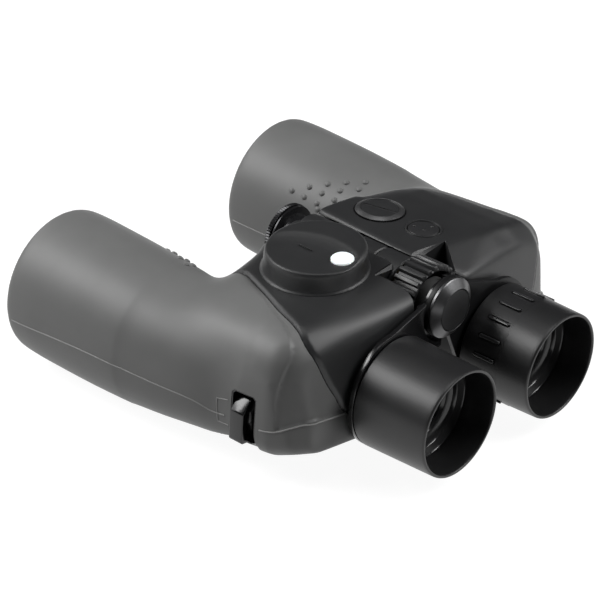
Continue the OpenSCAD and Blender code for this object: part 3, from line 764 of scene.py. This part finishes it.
for piece, spot, material, body, node, slot in (
        (cap, CAP, satin_metal, "battery_cap", "battery_cap", "cap_metal"),
        (disc, CAP, cover_plastic, "battery_cap", None, "cap_metal"),
        (bezel, LAMP, cover_plastic, "right_half", "button_bezel", "housing"),
        (button, LAMP, soft_black, "lamp_button", "lamp_button", "button_rubber")):
    put(piece, Matrix.Translation(at(*spot, 71)))
    smooth_shade(piece, 30)
    dress(piece, material)
    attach(piece, body)
    if node:
        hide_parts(node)

# ---- Focus wheel
# The wheel turns on the spindle between the housings. A ribbed rubber grip sits
# on a black core that is dished at the rear, round the neck of the left arm.


def ring_of(piece, count, x, z):
    """Sets copies of a piece at equal steps round an axis along Y, all in one mesh."""
    centre = Matrix.Translation(at(x, 96.5, z))
    copies = []
    for i in range(1, count):
        twin = copy_of(piece, piece.name)
        copies.append(put(twin, centre @ Matrix.Rotation(math.tau * i / count, 4, "Y") @ centre.inverted()))
    return join([piece] + copies, piece.name)


core = rings("wheel_core", [(u, 0, HINGE_Z, r) for u, r in (
    (44.6, 13.5), (44.4, 13.4), (44.4, 12.9), (44.7, 12.6), (49, 12.3), (49.2, 12.0), (49.2, 5.4),
    (57, 5.4), (57, 13.5), (44.6, 13.5))], 96, "loop")
grip = rings("wheel_grip", [(u, 0, HINGE_Z, r) for u, r in (
    (44.2, 13.4), (44.1, 13.6), (44.4, 13.9), (56.6, 13.9), (56.9, 13.6), (56.9, 13.4), (44.2, 13.4))], 108,
    "loop")
rib = block([(x, u, HINGE_Z + r) for x, u, r in (
    (-1.25, 44.0, 13.2), (1.25, 44.0, 13.2), (-1.25, 57, 13.2), (1.25, 57, 13.2), (-1.1, 44.0, 14.9),
    (1.1, 44.0, 14.9), (-1.1, 57, 14.9),
    (1.1, 57, 14.9), (-0.7, 44.4, 15.6), (0.7, 44.4, 15.6), (-0.7, 56.6, 15.6), (0.7, 56.6, 15.6))])
modify(rib, "BEVEL", width=0.28 * mm, segments=3, limit_method="ANGLE", angle_limit=math.radians(25))
grip = join([grip, ring_of(rib, 24, 0, HINGE_Z)], "wheel_grip")
wheel_rubber = moulded("wheel_rubber", (0.017, 0.017, 0.018), (0.024, 0.024, 0.025), (0.3, 0.4), 2400, 0.04,
    60)
for piece, material, node, slot in ((core, black_trim, "focus_wheel_core", "wheel_core"),
    (grip, wheel_rubber, "focus_wheel_grip", "grip_rubber")):
    smooth_shade(piece, 35)
    dress(piece, material)
    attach(piece, "focus_wheel")
    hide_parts(node)

# ---- Eyepiece arms and hub cap
# Two cast arms carry the eyepieces from the spindle, the left painted gloss black and the right satin
# black.
# The left one ends in the hub ring and its grey neck; a polished cap closes the hub.


def arm_outline(hub_r, low):
    """The outline of the right arm seen from behind, as (x, z)."""
    points = []
    for i in range(44):  # round the eyepiece, from its top over the outer side to its lower inner side
        turn = 88 - i * (88 + low) / 43
        r = 24.35 + 2.0 * min(1, max(0, (turn - 12) / 58))
        a = math.radians(turn)
        points.append((EYE_X + r * math.cos(a), EYE_Z + r * math.sin(a)))
    for i in range(28):  # round the hub
        a = math.radians(-80 - i * (360 - 80 - 52) / 27)
        points.append((hub_r * math.cos(a), HINGE_Z + hub_r * math.sin(a)))
    # and back along the upper side of the web, which is straight and curls up to the hub
    return points + [(x, 67.8 - 0.3 * x + 0.12 * max(0, 13.2 - x) ** 2)
        for x in (9.4, 10.5, 12, 14, 18, 26)]


gloss_black = moulded("gloss_black", (0.0065, 0.0065, 0.007), (0.009, 0.009, 0.0095), (0.2, 0.28), 600,
    0.008, 50, Coat_Weight=0.3, Coat_Roughness=0.12)
arm_satin = moulded("arm_satin", (0.007, 0.007, 0.0075), (0.01, 0.01, 0.0105), (0.34, 0.44), 900, 0.01, 50,
    Specular_IOR_Level=0.22)
neck_paint = moulded("neck_grey", (0.07, 0.07, 0.07), (0.09, 0.09, 0.09), (0.35, 0.45), 2000, 0.03, 60)
for side, half in ((1, "right"), (-1, "left")):
    plate = slab(half + "_arm_plate", [at(x, 36.4, z) for x, z in arm_outline(13.4, 128)],
        Vector((0, 2.1 * mm, 0)))
    cut(plate, rod(EYE_X, EYE_Z, 15.6, 30, 45, sides=96),
        rod(0, HINGE_Z, 5.1 if side > 0 else 15.4, 30, 45, sides=96))
    modify(plate, "BEVEL", width=0.4 * mm, segments=3, limit_method="ANGLE", angle_limit=math.radians(50))
    sleeve = rings("sleeve", [(u, EYE_X, EYE_Z, r) for u,
        r in ((37.5, 17.5), (55.6, 17.5), (56, 17.2), (56, 15.6), (37.5, 15.6), (37.5, 17.5))], 96, "loop")
    arm = join([plate, sleeve], half + "_arm_plate")
    if side < 0:
        mirrored(arm)
        ring = rings("hub_ring", [(u, 0, HINGE_Z, r) for u, r in (
            (38.9, 15.6), (39.2, 16.1), (40.6, 16.1), (40.9, 15.6), (40.9, 5.1), (38.9, 5.1),
            (38.9, 15.6))], 96, "loop")
        cut(ring, block([(x, u, z) for x in (-20, 20) for u in (38, 42) for z in (61.5, 80)]))
        hub_disc = rings("hub_disc", [(u, 0, HINGE_Z, r) for u, r in (
            (38.9, 11.3), (39.2, 11.6), (40.6, 11.6), (40.9, 11.3), (40.9, 5.1), (38.9, 5.1),
            (38.9, 11.3))], 96, "loop")
        key = block([(x, u, z) for x, z in ((1.6, 66.5), (4.9, 66), (4.9, 68.7), (1.6, 69.6))
            for u in (38.8, 42.2)])
        modify(key, "BEVEL", width=0.3 * mm, segments=2)
        # steps forward from the plate to the ring, clear of the right arm
        step_block = block([(x, u, z) for x in (-16.1, -14.9) for u in (37.8, 40.4) for z in (55.5, 59.5)])
        skirt = block([(x, u, z) for x, z in ((-6, 46), (1.2, 45), (1.2, 38), (-5, 36))
            for u in (38.9, 40.2)])
        ring = join([ring, hub_disc, step_block, skirt], "hub_ring")
        arm = join([arm, ring, key], arm.name)
        neck = rings("hub_neck", [(u, 0, HINGE_Z, r) for u, r in (
            (40.6, 9.4), (41.1, 9.7), (46.4, 9.7), (46.8, 9.3), (46.8, 5.1), (40.6, 5.1), (40.6, 9.4))], 96,
            "loop")
        smooth_shade(neck, 30)
        dress(neck, neck_paint)
        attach(neck, "left_eyepiece")
    smooth_shade(arm, 35)
    dress(arm, arm_satin if side > 0 else gloss_black)
    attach(arm, half + "_eyepiece")
    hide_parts(half + "_arm")

polished, add, shader, tree = new_material("polished_dark_metal")
place = add("TexCoord").outputs["Object"]
haze = add("TexNoise", {"Vector": place, "Scale": 60, "Detail": 3})
tone = add("ValToRGB", {"Fac": haze.outputs["Fac"]})
tone.color_ramp.elements[0].color, tone.color_ramp.elements[1].color = (0.1, 0.1, 0.102, 1), (0.125, 0.125,
    0.128, 1)
tree.links.new(tone.outputs["Color"], shader.inputs["Base Color"])
lathe_marks = add("TexWave", {"Vector": place, "Scale": 600, "Distortion": 1.5, "Detail": 1},
    bands_direction="Y")
gloss = add("MapRange", {"Value": lathe_marks.outputs["Fac"], "To Min": 0.3, "To Max": 0.38})
tree.links.new(gloss.outputs["Result"], shader.inputs["Roughness"])
shader.inputs["Metallic"].default_value = 0.9
hub = rings("hub_cap_ring", [(u, 0, HINGE_Z, r) for u, r in (
    (36.3, 13.0), (36.1, 13.3), (35.1, 13.3), (34.85, 13.15), (34.6, 12.85), (32.3, 9.7), (32.15, 9.5),
    (32.2, 9.3), (32.5, 9.15), (32.8, 9.1),
    (32.7, 5.2), (36.3, 5.2), (36.3, 12.9))], 128, "loop")
face = rings("hub_cap_face",
    [(u, 0, HINGE_Z, r) for u, r in ((35, 9.0), (32.6, 9.0), (32.35, 8.85), (32.3, 8.5), (32.3, 0))], 96)
for piece, material, node in ((hub, polished, "hub_cap"), (face, cover_plastic, None)):
    smooth_shade(piece, 30)
    dress(piece, material)
    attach(piece, "left_eyepiece")
    if node:
        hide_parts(node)

# ---- Eyepieces
# Soft rubber cups are pulled over both ocular tubes. The right one meets a ring,
# flush with it, that sets the dioptre; bars in slots give the fingers a grip.

eyecup_rubber = moulded("eyecup_rubber", (0.0115, 0.0115, 0.012), (0.016, 0.016, 0.0165), (0.33, 0.42),
    2600, 0.05, 45)
# the lens rings are a dark grey set lighter than the black trim: the ring's own dark colour, partly raised
# as a painted highlight for the bright arcs inside the eyecups
lens_ring_grey_painted_highlight = moulded("lens_ring_grey_painted_highlight", (0.035, 0.035, 0.036), (0.05, 0.05, 0.051), (0.12, 0.2), 1800,
    0.02, 60)


def cup_radius(u):
    """The outer radius of an eyecup and of the ring that carries on its line."""
    return 23.6 + 0.8 * min(1, u / 34)


for side, half in ((1, "right"), (-1, "left")):
    foot = 15.9 if side > 0 else 36.1
    outer = [(u, cup_radius(u))
        for u in ((foot, 12, 6, 2.5, 1.1) if side > 0 else (foot, 35.5, 28, 18, 12, 6, 2.5, 1.1))]
    if side < 0:
        outer[0] = (foot, cup_radius(foot) - 0.4)
    profile = outer + [(0.5, 23.55), (0.15, 23.38), (0, 23.1), (0, 22.7), (0.1, 22.4), (0.35, 22.2),
        (0.8, 22.1), (3, 22.0), (14.6, 21.95), (foot, 21.95),
                       outer[0]]
    cup = rings(half + "_cup", [(u, EYE_X, EYE_Z, r) for u, r in profile], 160, "loop")
    ring = rings(half + "_eye_ring", [(u, EYE_X, EYE_Z, r) for u, r in (
        (15.4, 21.9), (14.9, 21.75), (14.75, 21.55), (14.8, 21.3), (15.1, 21.1), (15.8, 17.6), (16.0, 17.4),
        (17.5, 16.8), (17.8, 16.4), (18.5, 13.6),
        (18.9, 13.2), (19.5, 12.6), (20.4, 12.5), (20.4, 21.9), (15.4, 21.9))], 128, "loop")
    foot_u = 34.8 if side > 0 else 36.2
    tube = rings(half + "_ocular_tube", [(u, EYE_X, EYE_Z, r) for u, r in (
        (20.5, 21.8), (20.5, 13.65), (26.2, 13.65), (26.4, 13.2), (33.8, 13.2), (34, 13.65), (53.7, 13.65),
        (54, 13.8), (54, 15.3), (53.7, 15.5),
        (foot_u, 15.5), (foot_u, 21.8), (20.5, 21.8))], 96, "loop")
    if side < 0:
        for piece in (cup, ring, tube):
            mirrored(piece)
    for piece, material, body, node, slot in (
            (cup, eyecup_rubber, "right_eyecup" if side > 0 else "left_eyepiece", half + "_eyecup",
            "eyecup_rubber"),
            (ring, lens_ring_grey_painted_highlight, "right_ocular" if side > 0 else "left_eyepiece", half + "_lens_ring",
            "black_trim"),
            (tube, anodised, "right_ocular" if side > 0 else "left_eyepiece", half + "_ocular",
            "ocular_metal")):
        smooth_shade(piece, 30)
        dress(piece, material)
        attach(piece, body)
        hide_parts(node)
    for node in ("_eye_lens", "_field_lens"):
        dress(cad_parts[half + node], lens_glass)


def capsule(name, width, u0, u1, z0, z1):
    """A bar along Y with round ends, standing up from z0 to z1 above the right eyepiece's axis."""
    outline = []
    for centre, turn in ((u1 - width / 2, 0), (u0 + width / 2, 180)):
        for i in range(9):
            a = math.radians(turn + i * 22.5)
            outline.append(at(EYE_X + width / 2 * math.cos(a), centre + width / 2 * math.sin(a), EYE_Z
                + z0))
    return slab(name, outline, Vector((0, 0, (z1 - z0) * mm)))


ring = rings("dioptre_ring", [(u, EYE_X, EYE_Z, r) for u, r in (
    (15.95, 21.95), (15.95, cup_radius(15.95)), (34.5, 24.4), (34.8, 24.1), (34.8, 21.95), (15.95, 21.95))],
    160, "loop")
cut(ring, ring_of(capsule("slot", 2.4, 16.9, 28.6, 23.35, 26), 18, EYE_X, EYE_Z))
dress(ring, eyecup_rubber)
bar = modify(capsule("bar", 1.5, 17.4, 28.1, 23, 24.85), "BEVEL", width=0.28 * mm, segments=3,
    limit_method="ANGLE", angle_limit=math.radians(50))
bar_satin = moulded("bar_satin", (0.022, 0.022, 0.023), (0.03, 0.03, 0.031), (0.2, 0.28), 900, 0.01, 60)
dress(bar, bar_satin)
ring = join([ring, ring_of(bar, 18, EYE_X, EYE_Z)], "dioptre_ring")
smooth_shade(ring, 35)
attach(ring, "right_eyecup")
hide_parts("diopter_ring")

# ---- Inner parts
# Prisms, shelves, guides, the hinge tube, the compass works and the lamp's parts
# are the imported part's own shapes; each gets the finish of its real material.

prism_glass = moulded("prism_glass", (0.9, 0.94, 0.92), (0.95, 0.97, 0.96), (0.003, 0.012), 300, 0.002, 40,
    Transmission_Weight=1, IOR=1.57)
clear_plastic = moulded("clear_plastic", (0.88, 0.92, 0.93), (0.93, 0.95, 0.96), (0.01, 0.05), 400, 0.003,
    50, Transmission_Weight=1, IOR=1.49)
steel = moulded("turned_steel", (0.42, 0.42, 0.43), (0.5, 0.5, 0.51), (0.22, 0.34), 1600, 0.01, 80,
    Metallic=1)
cell_steel = moulded("cell_steel", (0.55, 0.55, 0.56), (0.62, 0.62, 0.63), (0.16, 0.24), 1400, 0.006, 80,
    Metallic=1)
brass = moulded("brass", (0.5, 0.36, 0.14), (0.58, 0.43, 0.19), (0.24, 0.36), 1500, 0.01, 70, Metallic=1)
alloy = moulded("shelf_alloy", (0.3, 0.3, 0.31), (0.36, 0.36, 0.37), (0.34, 0.46), 2000, 0.02, 60,
    Metallic=1)
board_green = moulded("board_green", (0.012, 0.07, 0.03), (0.018, 0.09, 0.04), (0.3, 0.4), 1500, 0.01, 120)
seal_rubber = moulded("seal_rubber", (0.01, 0.01, 0.01), (0.015, 0.015, 0.015), (0.5, 0.6), 2400, 0.04, 60)
card_white = moulded("card_white", (0.72, 0.73, 0.7), (0.8, 0.8, 0.78), (0.4, 0.5), 1500, 0.01, 90)
for material, nodes in (
        (prism_glass, "left_prism_rear left_prism_front right_prism_rear right_prism_front reticle"),
        (clear_plastic, "compass_bowl compass_lens"),
        (steel, "hinge_tube compass_pivot focus_spindle left_screws right_screws"),
        (cell_steel, "battery_cells"), (brass, "left_guide right_guide thrust_ring battery_contact"),
        (alloy, "left_prism_shelf right_prism_shelf"),
        (board_green, "lamp_board"), (seal_rubber, "battery_seal"), (black_trim, "battery_cup"),
        (card_white, "compass_card")):
    for node in nodes.split():
        dress(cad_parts[node], material)
